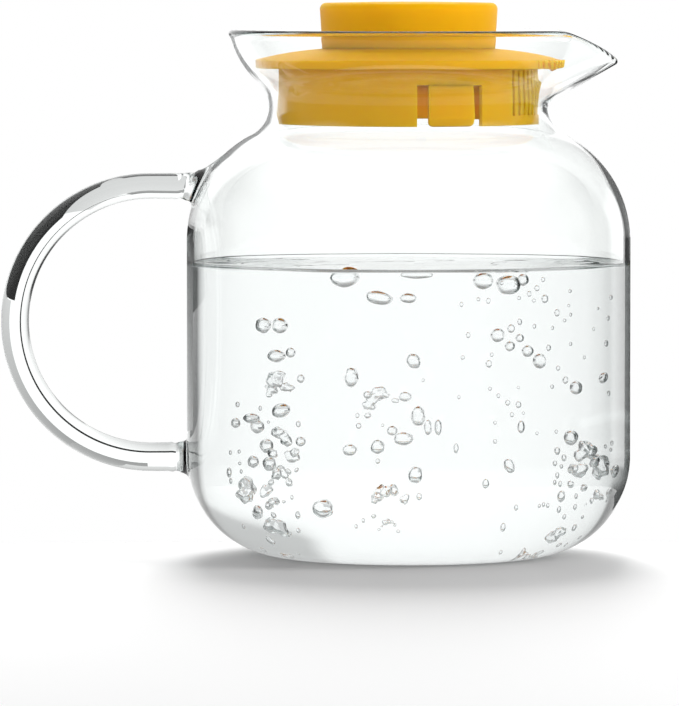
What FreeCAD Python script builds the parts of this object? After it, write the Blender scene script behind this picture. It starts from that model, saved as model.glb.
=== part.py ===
import FreeCAD, Part
import math
import os

from FreeCAD import Vector

# A blown-glass jug with a pulled spout, a fused rod handle and a drop-in strainer lid.
# Millimetres and degrees. The Z axis is the jug's own axis, Z = 0 is the table,
# +X is the pouring side and the handle stands at -X.

# Glass body
body_radius = 70.0
corner_radius = 31.5
straight_wall_top = 99.6
shoulder_radius = 37.5
shoulder_section_turn = 22.0
waist_radius = 44.0
neck_radius = 9.9
side_wall = 2.2
neck_wall = 1.7
floor_thickness = 3.2
punt_radius = 30.0
punt_rise = 0.8

# Flared mouth and fire-polished lip
flare_turn = 48.4
flare_radius = 28.4
flare_wall = 2.8
flare_top = 162.4
lip_curl_radius = 6.0
lip_curl_turn = 18.0
lip_thickness = 2.5

# Pulled spout
spout_length = 21.9
spout_slope = 30.0
spout_root_radius = 1.5
spout_half_angle = 27.5
spout_tip_round = 1.5
spout_foot_blend = 0.12

# Rod handle and the flared feet that fuse it to the wall
rod_radius = 4.45
handle_top = 116.4
handle_bottom = 31.2
handle_straight = 7.45
rod_end_gap = 4.0
upper_foot_flare = 25.0
upper_foot_length = 18.0
lower_foot_flare = 6.4

# Lid base: flange, deck and skirt, measured from the flange's underside
lid_turn = -12.0
flange_overhang = 4.3
flange_edge = 2.6
flange_edge_round = 0.6
deck_rise = 6.2
deck_crown = 0.5
deck_wall = 2.3
skirt_depth = 18.9
skirt_wall = 1.8
spigot_height = 5.0
spigot_wall = 2.2

# Knob cap and the plug that closes it from below
knob_base_radius = 27.3
knob_widening = 0.7
knob_height = 13.9
knob_edge_round = 2.0
knob_dome = 0.35
knob_wall = 2.2
plug_height = 3.0
plug_rim_width = 1.6
plug_rim_thickness = 1.2

# Strainer in the skirt and the ribbed grip above it on the flange
slit_count = 13
slit_pitch = 4.3
slit_width = 1.3
strainer_band = 3.4
slit_top_gap = 0.6
panel_half_angle = 28.0
panel_recess = 0.4
rib_count = 11
rib_width = 1.3
grip_half_angle = 23.5
grip_recess = 0.8

# Snap tongues cut out of the skirt
tongue_spread = 60.0
tongue_half_angle = 10.2
tongue_slot = 4.7
tongue_root_drop = 4.6
tongue_nose_height = 2.9
tongue_corner_round = 1.5

# Clearances
seat_clearance = 0.3
skirt_clearance = 1.3
tongue_clearance = 0.35
knob_clearance = 0.1
plug_clearance = 0.1
tongue_root_gap = 0.15

# How finely the mouth's curves are drawn
mouth_stations = 9
rim_stations = 5
spout_points = 9
spout_points_reach = 1.25
spout_points_crowding = 1.4
plain_points = 24
cut_margin = 2.0
join_tolerance = 0.005

# Sizes that follow from the ones above
up = Vector(0, 0, 1)
neck_centre_radius = waist_radius + neck_radius
shoulder_run = neck_centre_radius - (body_radius - shoulder_radius)
waist_height = straight_wall_top + math.sqrt((shoulder_radius + neck_radius) ** 2 - shoulder_run ** 2)
neck_centre = Vector(neck_centre_radius, 0, waist_height)
waist_bore = waist_radius - neck_wall
neck_start = straight_wall_top + shoulder_radius * math.sin(math.radians(shoulder_section_turn))
spout_reach = waist_radius + spout_length
flange_radius = waist_radius + flange_overhang
skirt_radius = waist_bore - skirt_clearance
skirt_bore = skirt_radius - skirt_wall
tongue_reach = waist_bore - tongue_clearance
knob_bore = knob_base_radius - knob_wall
spigot_radius = knob_bore - knob_clearance
spigot_bore = spigot_radius - spigot_wall
knob_top_radius = knob_base_radius + knob_widening
rod_end = body_radius + rod_end_gap


def at(radius, height):
    return Vector(radius, 0, height)


def around(centre, radius, angle):
    turn = math.radians(angle)
    return centre + Vector(radius * math.cos(turn), 0, radius * math.sin(turn))


def line(start, end):
    return Part.LineSegment(start, end).toShape()


def arc(centre, radius, start, end):
    middle = (start + end) / 2
    points = [around(centre, radius, angle) for angle in (start, middle, end)]
    return Part.Arc(*points).toShape()


def lines(*points):
    return [line(start, end) for start, end in zip(points, points[1:])]


def turned(edges, angle=360.0):
    wire = Part.Wire(Part.__sortEdges__(edges))
    return Part.Face(wire).revolve(Vector(), up, angle)


def sector(inner, outer, low, high, centre_angle, half_angle):
    corners = [at(inner, low), at(outer, low), at(outer, high), at(inner, high), at(inner, low)]
    block = turned(lines(*corners), 2 * half_angle)
    block.rotate(Vector(), up, centre_angle - half_angle)
    return block


# Glass below the waist, in four sections that meet on flat rings

def body_outline(floor, side, corner, shoulder, neck):
    # Floor, corner, wall, shoulder and the lower half of the neck, each tangent to the next.
    corner_centre = at(side - corner, floor + corner)
    run = neck_centre_radius - (side - shoulder)
    rise = math.sqrt((shoulder + neck) ** 2 - run ** 2)
    shoulder_centre = at(side - shoulder, waist_height - rise)
    lean = math.degrees(math.atan2(rise, run))
    return [
        line(at(0, floor), at(side - corner, floor)),
        arc(corner_centre, corner, -90, 0),
        line(at(side, floor + corner), at(side, shoulder_centre.z)),
        arc(shoulder_centre, shoulder, 0, lean),
        arc(neck_centre, neck, lean + 180, 180),
    ]


def outer_outline():
    return body_outline(0, body_radius, corner_radius, shoulder_radius, neck_radius)


def filled_body():
    close = lines(at(waist_radius, waist_height), at(0, waist_height), at(0, 0))
    return turned(outer_outline() + close)


def punt():
    # The shallow hollow under the floor, so that the jug stands on a flat ring.
    sphere_radius = (punt_radius ** 2 + punt_rise ** 2) / (2 * punt_rise)
    half = math.degrees(math.asin(punt_radius / sphere_radius))
    dome = arc(at(0, punt_rise - sphere_radius), sphere_radius, 90, 90 - half)
    return turned([dome] + lines(at(punt_radius, 0), at(0, 0), at(0, punt_rise)))


def glass_body():
    # The blown body in one piece, from the standing ring to the waist.
    inner = body_outline(
        floor_thickness,
        body_radius - side_wall,
        corner_radius - side_wall,
        shoulder_radius - side_wall,
        neck_radius + neck_wall,
    )
    close = [
        line(at(waist_radius, waist_height), at(waist_bore, waist_height)),
        line(at(0, floor_thickness), at(0, 0)),
    ]
    return turned(outer_outline() + inner + close).cut(punt())


def body_sections():
    # Floor with its rounded corner, straight wall, start of the shoulder, and the rest up to the waist.
    names = ["glass_base", "glass_wall", "glass_shoulder", "glass_neck"]
    corner_top = floor_thickness + corner_radius - side_wall
    heights = [-cut_margin, corner_top, straight_wall_top, neck_start, waist_height + cut_margin]
    whole = glass_body()
    sections = {}
    for name, low, high in zip(names, heights, heights[1:]):
        slab = Part.makeCylinder(body_radius + cut_margin, high - low, at(0, low))
        sections[name] = whole.common(slab)
    return sections


# Mouth: flare, lip and spout

def flare_outline():
    # From the waist, out along the neck, up the flare and into the curl of the lip.
    turn = 180 - flare_turn
    flare_centre = around(neck_centre, neck_radius + flare_radius, turn)
    flare_end = math.degrees(math.asin((flare_top - flare_centre.z) / flare_radius))
    curl_centre = around(flare_centre, flare_radius + lip_curl_radius, flare_end)
    return [
        arc(neck_centre, neck_radius, 180, turn),
        arc(flare_centre, flare_radius, turn - 180, flare_end),
        arc(curl_centre, lip_curl_radius, flare_end + 180, flare_end + 180 - lip_curl_turn),
    ]


def spout_outline():
    # The keel of the spout: a tight bend at the waist and a straight run to the tip.
    slope = math.radians(spout_slope)
    bend_centre = at(waist_radius + spout_root_radius, waist_height)
    bend = arc(bend_centre, spout_root_radius, 180, 90 + spout_slope)
    start = around(bend_centre, spout_root_radius, 90 + spout_slope)
    tip_radius = spout_reach - lip_thickness / 2 * (1 - math.sin(slope))
    tip = at(tip_radius, start.z + (tip_radius - start.x) * math.tan(slope))
    return [bend, line(start, tip)]


def wall_share(share):
    # Glass thickness from the waist to the lip, thickest where the lid rests.
    return (
        neck_wall * (1 - share) * (1 - 2 * share)
        + flare_wall * 4 * share * (1 - share)
        + lip_thickness * share * (2 * share - 1)
    )


def stations(edges):
    # Evenly spaced points along an outline, each with the direction that faces out of the glass.
    total = sum(edge.Length for edge in edges)
    found = []
    for index in range(mouth_stations):
        distance = total * index / (mouth_stations - 1)
        for edge in edges:
            if distance <= edge.Length or edge is edges[-1]:
                break
            distance -= edge.Length
        place = edge.getParameterByLength(min(distance, edge.Length))
        along = edge.tangentAt(place)
        found.append((edge.valueAt(place), Vector(along.z, 0, -along.x)))
    return found


def wall_section(edges):
    # Outside going up, round the rim, and inside going down, as three lists of points.
    outside = []
    inside = []
    for index, (point, facing) in enumerate(stations(edges)):
        outside.append(point)
        inside.append(point - facing * wall_share(index / (mouth_stations - 1)))
    centre = (outside[-1] + inside[-1]) / 2
    across = outside[-1] - centre
    onward = Vector(-across.z, 0, across.x)
    rim = []
    for index in range(rim_stations):
        turn = math.pi * index / (rim_stations - 1)
        rim.append(centre + across * math.cos(turn) + onward * math.sin(turn))
    return outside, rim, inside[::-1]


def spout_share(angle):
    # 1 at the tip and 0 on the round rim, with a small tip radius and a soft foot.
    def ramp(swing):
        drop = math.hypot(swing, spout_tip_round) - spout_tip_round
        left = 1 - drop / spout_half_angle
        return (left + math.hypot(left, spout_foot_blend)) / 2
    return ramp(angle) / ramp(0)


def ring_angles():
    # Close together at the tip of the spout and even round the rest of the rim.
    spread = spout_half_angle * spout_points_reach
    side = []
    for index in range(spout_points + 1):
        side.append(spread * (index / spout_points) ** spout_points_crowding)
    step = (360 - 2 * spread) / plain_points
    plain = [spread + step * index for index in range(1, plain_points)]
    return side + plain + [360 - angle for angle in reversed(side[1:])]


def ring(plain_point, spout_point, angles):
    points = []
    for angle in angles:
        share = spout_share(min(angle, 360 - angle))
        point = plain_point * (1 - share) + spout_point * share
        turn = math.radians(angle)
        points.append(Vector(point.x * math.cos(turn), point.x * math.sin(turn), point.z))
    curve = Part.BSplineCurve()
    curve.interpolate(Points=points, Parameters=angles + [360.0], PeriodicFlag=True)
    return Part.Wire(curve.toShape())


def pouring_mouth():
    # Flare, lip and spout above the waist, with the lip's rounding drawn as narrow ruled bands.
    angles = ring_angles()
    bands = []
    for plain, spout in zip(wall_section(flare_outline()), wall_section(spout_outline())):
        bands.append([ring(*pair, angles) for pair in zip(plain, spout)])
    outside, rim, inside = bands
    faces = Part.makeLoft(outside).Faces + Part.makeLoft(rim, False, True).Faces
    faces += Part.makeLoft(inside).Faces
    faces.append(Part.makeFace([outside[0], inside[-1]], "Part::FaceMakerBullseye"))
    shell = Part.makeShell(faces)
    shell.sewShape()
    solid = Part.makeSolid(shell)
    solid.fix(join_tolerance, join_tolerance, join_tolerance)
    return solid


# Handle

def handle():
    loop_radius = (handle_top - handle_bottom) / 2
    loop_centre = at(-rod_end - handle_straight, handle_bottom + loop_radius)
    path = Part.Wire([
        line(at(-rod_end, handle_top), at(loop_centre.x, handle_top)),
        arc(loop_centre, loop_radius, 90, 270),
        line(at(loop_centre.x, handle_bottom), at(-rod_end, handle_bottom)),
    ])
    section = Part.Wire(Part.Circle(at(-rod_end, handle_top), Vector(-1, 0, 0), rod_radius).toShape())
    return path.makePipeShell([section], True, False)


def handle_foot(height, flare, length):
    # A trumpet about the rod's own line, trimmed to the outside of the body.
    turn = math.degrees(math.asin(length / flare))
    start = at(-rod_end, height + rod_radius)
    bell = arc(start + Vector(0, 0, flare), flare, 270, 270 + turn)
    rim = around(start + Vector(0, 0, flare), flare, 270 + turn)
    close = lines(rim, at(rim.x, height), at(-rod_end, height), start)
    wire = Part.Wire(Part.__sortEdges__([bell] + close))
    trumpet = Part.Face(wire).revolve(at(0, height), Vector(1, 0, 0), 360)
    return trumpet.cut(filled_body())


# Lid, drawn with the strainer facing +X and Z = 0 at the flange's underside

def chord_height(radius):
    # Straight line down the deck from the knob to the flange's edge.
    share = (radius - knob_base_radius) / (flange_radius - flange_edge_round - knob_base_radius)
    return deck_rise + (flange_edge - deck_rise) * share


def lid_shell():
    edge_start = flange_radius - flange_edge_round
    middle = (knob_base_radius + edge_start) / 2
    deck = Part.Arc(
        at(knob_base_radius, deck_rise),
        at(middle, chord_height(middle) + deck_crown),
        at(edge_start, flange_edge),
    ).toShape()
    edge = arc(at(edge_start, flange_edge - flange_edge_round), flange_edge_round, 90, 0)
    below = lines(
        at(flange_radius, flange_edge - flange_edge_round),
        at(flange_radius, 0),
        at(skirt_radius, 0),
        at(skirt_radius, -skirt_depth),
        at(skirt_bore, -skirt_depth),
        at(skirt_bore, chord_height(skirt_bore) - deck_wall),
        at(knob_base_radius, deck_rise - deck_wall),
        at(spigot_bore, deck_rise - deck_wall),
        at(spigot_bore, deck_rise + spigot_height),
        at(spigot_radius, deck_rise + spigot_height),
        at(spigot_radius, deck_rise),
        at(knob_base_radius, deck_rise),
    )
    return turned([deck, edge] + below)


def radial_bars(count, width, inner, outer, low, high):
    bars = []
    for index in range(count):
        bar = Part.makeBox(outer - inner, width, high - low, Vector(inner, -width / 2, low))
        bar.rotate(Vector(), up, slit_pitch * (index - (count - 1) / 2))
        bars.append(bar)
    return Part.makeCompound(bars)


def strainer_cuts():
    band_top = strainer_band - skirt_depth
    panel = sector(
        skirt_radius - panel_recess, skirt_radius + cut_margin, band_top, 0, 0, panel_half_angle,
    )
    slits = radial_bars(
        slit_count, slit_width, skirt_bore - cut_margin, skirt_radius + cut_margin,
        band_top, -slit_top_gap,
    )
    return [panel, slits]


def grip_cut():
    reach = flange_radius + cut_margin
    recess = sector(flange_radius - grip_recess, reach, -cut_margin, flange_edge, 0, grip_half_angle)
    ribs = radial_bars(
        rib_count, rib_width, flange_radius - 2 * grip_recess, reach + cut_margin,
        -2 * cut_margin, flange_edge + cut_margin,
    )
    return recess.cut(ribs)


def tongue_angles():
    return {"front": -tongue_spread, "rear": tongue_spread, "left": 180.0}


def lid_base():
    cuts = strainer_cuts() + [grip_cut()]
    for angle in tongue_angles().values():
        cuts.append(sector(
            skirt_bore - cut_margin, skirt_radius + cut_margin,
            -skirt_depth - cut_margin, -tongue_root_drop,
            angle, tongue_half_angle + tongue_slot,
        ))
    shell = lid_shell()
    for cut in cuts:
        shell = shell.cut(cut)
    return shell


def snap_tongue(angle):
    # A strip of the skirt that swells to a nose near its free lower end.
    root = -tongue_root_drop - tongue_root_gap
    nose = tongue_nose_height - skirt_depth
    strip = turned(lines(
        at(skirt_bore, root),
        at(skirt_radius, root),
        at(tongue_reach, nose),
        at(skirt_radius, -skirt_depth),
        at(skirt_bore, -skirt_depth),
        at(skirt_bore, root),
    ), 2 * tongue_half_angle)
    corners = []
    for edge in strip.Edges:
        ends = [vertex.Point for vertex in edge.Vertexes]
        flat = all(abs(end.z + skirt_depth) < join_tolerance for end in ends)
        if flat and isinstance(edge.Curve, Part.Line):
            corners.append(edge)
    strip = strip.makeFillet(tongue_corner_round, corners)
    strip.rotate(Vector(), up, angle - tongue_half_angle)
    return strip


def knob():
    top = deck_rise + knob_height
    shoulder = top - knob_dome
    round_centre = at(knob_top_radius - knob_edge_round, shoulder - knob_edge_round)
    flat_radius = knob_top_radius - knob_edge_round
    dome_radius = (flat_radius ** 2 + knob_dome ** 2) / (2 * knob_dome)
    dome_half = math.degrees(math.asin(flat_radius / dome_radius))
    side = lines(
        at(0, top),
        at(0, shoulder - knob_wall),
        at(knob_bore, shoulder - knob_wall),
        at(knob_bore, deck_rise),
        at(knob_base_radius, deck_rise),
        at(knob_top_radius, round_centre.z),
    )
    curves = [
        arc(round_centre, knob_edge_round, 0, 90),
        arc(at(0, top - dome_radius), dome_radius, 90 - dome_half, 90),
    ]
    return turned(side + curves)


def knob_plug():
    seat = deck_rise - deck_wall
    plug_radius = spigot_bore - plug_clearance
    rim_radius = spigot_bore + plug_rim_width
    rim_top = seat - plug_clearance
    return turned(lines(
        at(0, rim_top - plug_rim_thickness),
        at(rim_radius, rim_top - plug_rim_thickness),
        at(rim_radius, rim_top),
        at(plug_radius, rim_top),
        at(plug_radius, seat + plug_height),
        at(0, seat + plug_height),
        at(0, rim_top - plug_rim_thickness),
    ))


def lid_height():
    # Where the flange's lower edge comes to rest in the flare, less its clearance.
    _, _, inside = wall_section(flare_outline())
    curve = Part.BSplineCurve()
    curve.interpolate(inside)
    ring_radius = flange_radius + seat_clearance
    column = Part.LineSegment(at(ring_radius, waist_height), at(ring_radius, inside[0].z))
    return column.intersectCC(curve)[0].Z


def lid_pieces():
    pieces = {"lid_base": lid_base(), "knob": knob(), "knob_plug": knob_plug()}
    for side, angle in tongue_angles().items():
        pieces["snap_tongue_" + side] = snap_tongue(angle)
    rest = lid_height()
    for shape in pieces.values():
        shape.rotate(Vector(), up, lid_turn)
        shape.translate(Vector(0, 0, rest))
    print("flange underside at", round(rest, 3))
    return pieces


nodes = body_sections()
nodes.update({
    "pouring_mouth": pouring_mouth(),
    "handle": handle(),
    "handle_upper_foot": handle_foot(handle_top, upper_foot_flare, upper_foot_length),
    "handle_lower_foot": handle_foot(handle_bottom, lower_foot_flare, lower_foot_flare),
})
nodes.update(lid_pieces())

os.makedirs("parts", exist_ok=True)
for name, shape in nodes.items():
    shape.exportStep("parts/" + name + ".step")
    box = shape.BoundBox
    print(name, len(shape.Solids), shape.isValid(), round(shape.Volume, 1),
          [round(value, 2) for value in (box.XMin, box.XMax, box.YMin, box.YMax, box.ZMin, box.ZMax)])
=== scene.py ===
import math
import random

import bmesh
import bpy
import numpy as np
from mathutils import Matrix, Vector, noise


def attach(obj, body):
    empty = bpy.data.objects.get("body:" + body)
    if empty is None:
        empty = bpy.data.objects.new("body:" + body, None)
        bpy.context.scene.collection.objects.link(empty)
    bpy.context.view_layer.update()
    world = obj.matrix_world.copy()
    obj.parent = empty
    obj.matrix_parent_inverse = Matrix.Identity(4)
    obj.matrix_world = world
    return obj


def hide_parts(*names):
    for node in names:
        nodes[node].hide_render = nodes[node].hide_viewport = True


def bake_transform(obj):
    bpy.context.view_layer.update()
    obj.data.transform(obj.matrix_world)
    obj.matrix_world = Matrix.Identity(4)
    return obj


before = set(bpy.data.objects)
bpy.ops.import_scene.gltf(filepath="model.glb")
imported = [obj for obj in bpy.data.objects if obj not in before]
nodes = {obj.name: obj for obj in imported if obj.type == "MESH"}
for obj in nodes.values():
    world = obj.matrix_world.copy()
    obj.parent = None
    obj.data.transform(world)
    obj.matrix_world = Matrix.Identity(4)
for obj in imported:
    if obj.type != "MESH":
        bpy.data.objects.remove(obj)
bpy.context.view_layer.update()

mm = 0.001
scene = bpy.context.scene


# outline helpers: points are (radius, height) in millimetres

def arcPoints(centre, radius, start, end, step=2.0):
    count = max(2, math.ceil(abs(end - start) / step) + 1)
    turns = np.radians(np.linspace(start, end, count))
    return [(centre[0] + radius * math.cos(t), centre[1] + radius * math.sin(t)) for t in turns]


def runPoints(start, end, step):
    count = max(2, math.ceil(math.dist(start, end) / step) + 1)
    return [tuple(p) for p in np.linspace(start, end, count)]


def chain(*runs):
    points = []
    for run in runs:
        points += [p for p in run if not points or math.dist(p, points[-1]) > 1e-6]
    return points


def alongOutline(points, count):
    # evenly spaced points with the direction that faces out of the glass
    line = np.array(points)
    steps = np.hypot(*np.diff(line, axis=0).T)
    reach = np.concatenate([[0], np.cumsum(steps)])
    places = np.linspace(0, reach[-1], count)
    spots = np.stack([np.interp(places, reach, line[:, k]) for k in (0, 1)], 1)
    ahead = np.stack([np.interp(places + 0.05, reach, line[:, k]) for k in (0, 1)], 1)
    behind = np.stack([np.interp(places - 0.05, reach, line[:, k]) for k in (0, 1)], 1)
    along = ahead - behind
    along /= np.hypot(along[:, 0], along[:, 1])[:, None]
    return spots, np.stack([along[:, 1], -along[:, 0]], 1)


def throughThree(share, start, middle, end):
    # a smooth change through three values, for wall and rod thickness
    toMiddle = start * (1 - share) * (1 - 2 * share) + middle * 4 * share * (1 - share)
    return toMiddle + end * share * (2 * share - 1)


# the glass

jug = {
    "bodyRadius": 70.0, "cornerRadius": 31.5, "straightTop": 99.6, "shoulderRadius": 37.5,
    "waistRadius": 44.0, "neckRadius": 9.9, "sideWall": 2.2, "neckWall": 1.7, "floorWall": 3.2,
    "puntRadius": 30.0, "puntRise": 0.8,
    "flareTurn": 48.4, "flareRadius": 28.4, "flareWall": 2.0, "flareTop": 162.4,
    "lipCurlRadius": 6.0, "lipCurlTurn": 18.0, "lipWall": 2.5,
    "spoutReach": 65.9, "spoutSlope": 30.0, "spoutRootRadius": 1.5,
    "spoutHalfAngle": 27.5, "spoutTipRound": 1.5, "spoutFootBlend": 0.12,
    "mouthRings": 30, "rimRings": 13,
    "tipStep": 0.3, "tipReach": 40.0, "stepGrowth": 1.06, "evenStep": 1.5,  # column spacing in degrees
    "outerSteps": {"floor": 2.5, "wall": 1.3, "bend": 2.0},  # ring spacing in millimetres and degrees
    "innerSteps": {"floor": 5.0, "wall": 3.9, "bend": 3.0},
    "mouthStep": 0.5,
}
neckCentreRadius = jug["waistRadius"] + jug["neckRadius"]
shoulderRun = neckCentreRadius - (jug["bodyRadius"] - jug["shoulderRadius"])
shoulderReach = jug["shoulderRadius"] + jug["neckRadius"]
waistHeight = jug["straightTop"] + math.sqrt(shoulderReach ** 2 - shoulderRun ** 2)
neckCentre = (neckCentreRadius, waistHeight)


def bodyOutline(floor, side, corner, shoulder, neck, steps):
    # floor, corner, wall, shoulder and lower half of the neck, each tangent to the next
    cornerCentre = (side - corner, floor + corner)
    run = neckCentreRadius - (side - shoulder)
    rise = math.sqrt((shoulder + neck) ** 2 - run ** 2)
    shoulderCentre = (side - shoulder, waistHeight - rise)
    lean = math.degrees(math.atan2(rise, run))
    return chain(
        runPoints((0, floor), (side - corner, floor), steps["floor"]),
        arcPoints(cornerCentre, corner, -90, 0, steps["bend"]),
        runPoints((side, floor + corner), (side, shoulderCentre[1]), steps["wall"]),
        arcPoints(shoulderCentre, shoulder, 0, lean, steps["bend"]),
        arcPoints(neckCentre, neck, lean + 180, 180, steps["bend"]),
    )


def outerBody():
    outline = bodyOutline(
        0, jug["bodyRadius"], jug["cornerRadius"], jug["shoulderRadius"], jug["neckRadius"],
        jug["outerSteps"],
    )
    hollowed = []
    for radius, height in outline:
        if height < 1e-6 and radius < jug["puntRadius"]:
            height = jug["puntRise"] * (1 + math.cos(math.pi * radius / jug["puntRadius"])) / 2
        hollowed.append((radius, height))
    return hollowed


def innerBody(gap=0.0):
    # gap sinks the outline into the wall, for the water that touches it
    wall = jug["sideWall"] - gap
    return bodyOutline(
        jug["floorWall"] - gap, jug["bodyRadius"] - wall, jug["cornerRadius"] - wall,
        jug["shoulderRadius"] - wall, jug["neckRadius"] + jug["neckWall"] - gap, jug["innerSteps"],
    )


def flareOutline():
    turn = 180 - jug["flareTurn"]
    reach = jug["neckRadius"] + jug["flareRadius"]
    side = (math.cos(math.radians(turn)), math.sin(math.radians(turn)))
    flareCentre = (neckCentre[0] + reach * side[0], neckCentre[1] + reach * side[1])
    flareEnd = math.degrees(math.asin((jug["flareTop"] - flareCentre[1]) / jug["flareRadius"]))
    reach = jug["flareRadius"] + jug["lipCurlRadius"]
    side = (math.cos(math.radians(flareEnd)), math.sin(math.radians(flareEnd)))
    curlCentre = (flareCentre[0] + reach * side[0], flareCentre[1] + reach * side[1])
    curlStart = flareEnd + 180
    curlEnd = curlStart - jug["lipCurlTurn"]
    return chain(
        arcPoints(neckCentre, jug["neckRadius"], 180, turn, jug["mouthStep"]),
        arcPoints(flareCentre, jug["flareRadius"], turn - 180, flareEnd, jug["mouthStep"]),
        arcPoints(curlCentre, jug["lipCurlRadius"], curlStart, curlEnd, jug["mouthStep"]),
    )


def spoutOutline():
    slope = math.radians(jug["spoutSlope"])
    root = jug["spoutRootRadius"]
    bend = arcPoints((jug["waistRadius"] + root, waistHeight), root, 180, 90 + jug["spoutSlope"])
    tipRadius = jug["spoutReach"] - jug["lipWall"] / 2 * (1 - math.sin(slope))
    tip = (tipRadius, bend[-1][1] + (tipRadius - bend[-1][0]) * math.tan(slope))
    return chain(bend, runPoints(bend[-1], tip, jug["mouthStep"]))


def mouthSection(outline):
    # outside going up, round the rim, inside going down
    spots, facing = alongOutline(outline, jug["mouthRings"])
    share = np.linspace(0, 1, jug["mouthRings"])
    wall = throughThree(share, jug["neckWall"], jug["flareWall"], jug["lipWall"])
    inside = spots - facing * wall[:, None]
    centre = (spots[-1] + inside[-1]) / 2
    across = spots[-1] - centre
    onward = np.array([-across[1], across[0]])
    turns = np.linspace(0, math.pi, jug["rimRings"])[1:-1]
    rim = [centre + across * math.cos(t) + onward * math.sin(t) for t in turns]
    return np.concatenate([spots, rim, inside[::-1]])


def spoutShare(angle):
    # 1 at the spout's tip, 0 on the round rim
    def ramp(swing):
        drop = math.hypot(swing, jug["spoutTipRound"]) - jug["spoutTipRound"]
        left = 1 - drop / jug["spoutHalfAngle"]
        return (left + math.hypot(left, jug["spoutFootBlend"])) / 2
    return ramp(angle) / ramp(0)


def columnAngles():
    # fine at the spout's tip, even round the rest, with one column at the handle
    side = [0.0]
    step = jug["tipStep"]
    while side[-1] + step < jug["tipReach"]:
        side.append(side[-1] + step)
        step = min(jug["evenStep"], step * jug["stepGrowth"])
    left = 180 - side[-1]
    count = round(left / jug["evenStep"])
    side += [side[-1] + left * k / count for k in range(1, count + 1)]
    return side + [360 - a for a in reversed(side[1:-1])]


def outerRadius(height):
    # the body's outside between its floor and the top of its shoulder
    corner, shoulder = jug["cornerRadius"], jug["shoulderRadius"]
    if height < corner:
        return jug["bodyRadius"] - corner + math.sqrt(corner ** 2 - (corner - height) ** 2)
    if height > jug["straightTop"]:
        return jug["bodyRadius"] - shoulder + math.sqrt(shoulder ** 2 - (height - jug["straightTop"]) ** 2)
    return jug["bodyRadius"]


# the rod handle and its fused feet

rod = {
    "topHeight": 116.8, "bottomHeight": 31.2, "loopX": -81.45,
    "topRadius": 4.0, "sideRadius": 4.4, "bottomRadius": 4.5,
    "holeRows": 20, "holeColumns": 14, "skinRings": 4, "footRings": 12, "loopRings": 84,
    "filletPull": 0.75, "beadWidth": 0.6,
    "upperFoot": {
        "low": 105.5, "gap": 7.0, "up": 11.5, "side": 7.6, "down": 7.4,
        "beads": ((0.8, 0.4), (2.6, -0.35), (4.4, 0.3), (6.0, -0.3)),
    },
    "lowerFoot": {
        "low": 19.5, "gap": 6.0, "up": 6.2, "side": 7.0, "down": 8.2,
        "beads": ((0.8, 0.35), (2.6, -0.3), (4.2, 0.25)),
    },
}


def footEdge(foot, turn):
    # how far the foot spreads over the wall in each direction round the rod
    rise = foot["up"] if math.sin(turn) > 0 else foot["down"]
    return foot["side"] + (rise - foot["side"]) * math.sin(turn) ** 2


def wallPoint(side, height):
    return Vector((-math.sqrt(outerRadius(height) ** 2 - side ** 2), side, height))


def footCurve(foot, axisHeight, radius, turn, count):
    # from the rod to the wall on one smooth fillet, with the weld's beads
    out = Vector((0, math.cos(turn), math.sin(turn)))
    axis = Vector((0, 0, axisHeight))
    edge = footEdge(foot, turn)
    under = axis + out * radius
    start = Vector((wallPoint(under.y, under.z).x - foot["gap"], under.y, under.z))
    onWall = axis + out * edge
    end = wallPoint(onWall.y, onWall.z)
    inner = axis + out * (edge - 0.2)
    tangent = (end - wallPoint(inner.y, inner.z)).normalized()
    one = start + Vector((foot["gap"] * rod["filletPull"], 0, 0))
    two = end - tangent * (edge - radius) * rod["filletPull"]
    points = []
    for k in range(count):
        t = k / (count - 1)
        p = start * (1 - t) ** 3 + one * 3 * t * (1 - t) ** 2 + two * 3 * t * t * (1 - t) + end * t ** 3
        for place, size in foot["beads"]:
            away = (p.x - start.x - place) / rod["beadWidth"]
            p += out * size * math.exp(-away ** 2) * (1 - t)
        points.append(p)
    return points


def holeLoop(columns, first, rising):
    # the rim of the opening that a foot fills, as (ring, column) places
    middle = columns.index(180.0)
    low, high = middle - rod["holeColumns"] // 2, middle + rod["holeColumns"] // 2
    bottom, top = first, first + rod["holeRows"]
    loop = [(bottom, c) for c in range(low, high)]
    loop += [(r, high) for r in range(bottom, top)]
    loop += [(top, c) for c in range(high, low, -1)]
    loop += [(r, low) for r in range(top, bottom, -1)]
    if not rising:
        loop = [(top + bottom - r, c) for r, c in loop]
    return loop, (bottom, top, low, high)


def rodRadius(turn):
    # turn runs from 0 at the upper foot to 180 at the lower one
    return throughThree(turn / 180, rod["topRadius"], rod["sideRadius"], rod["bottomRadius"])


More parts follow.
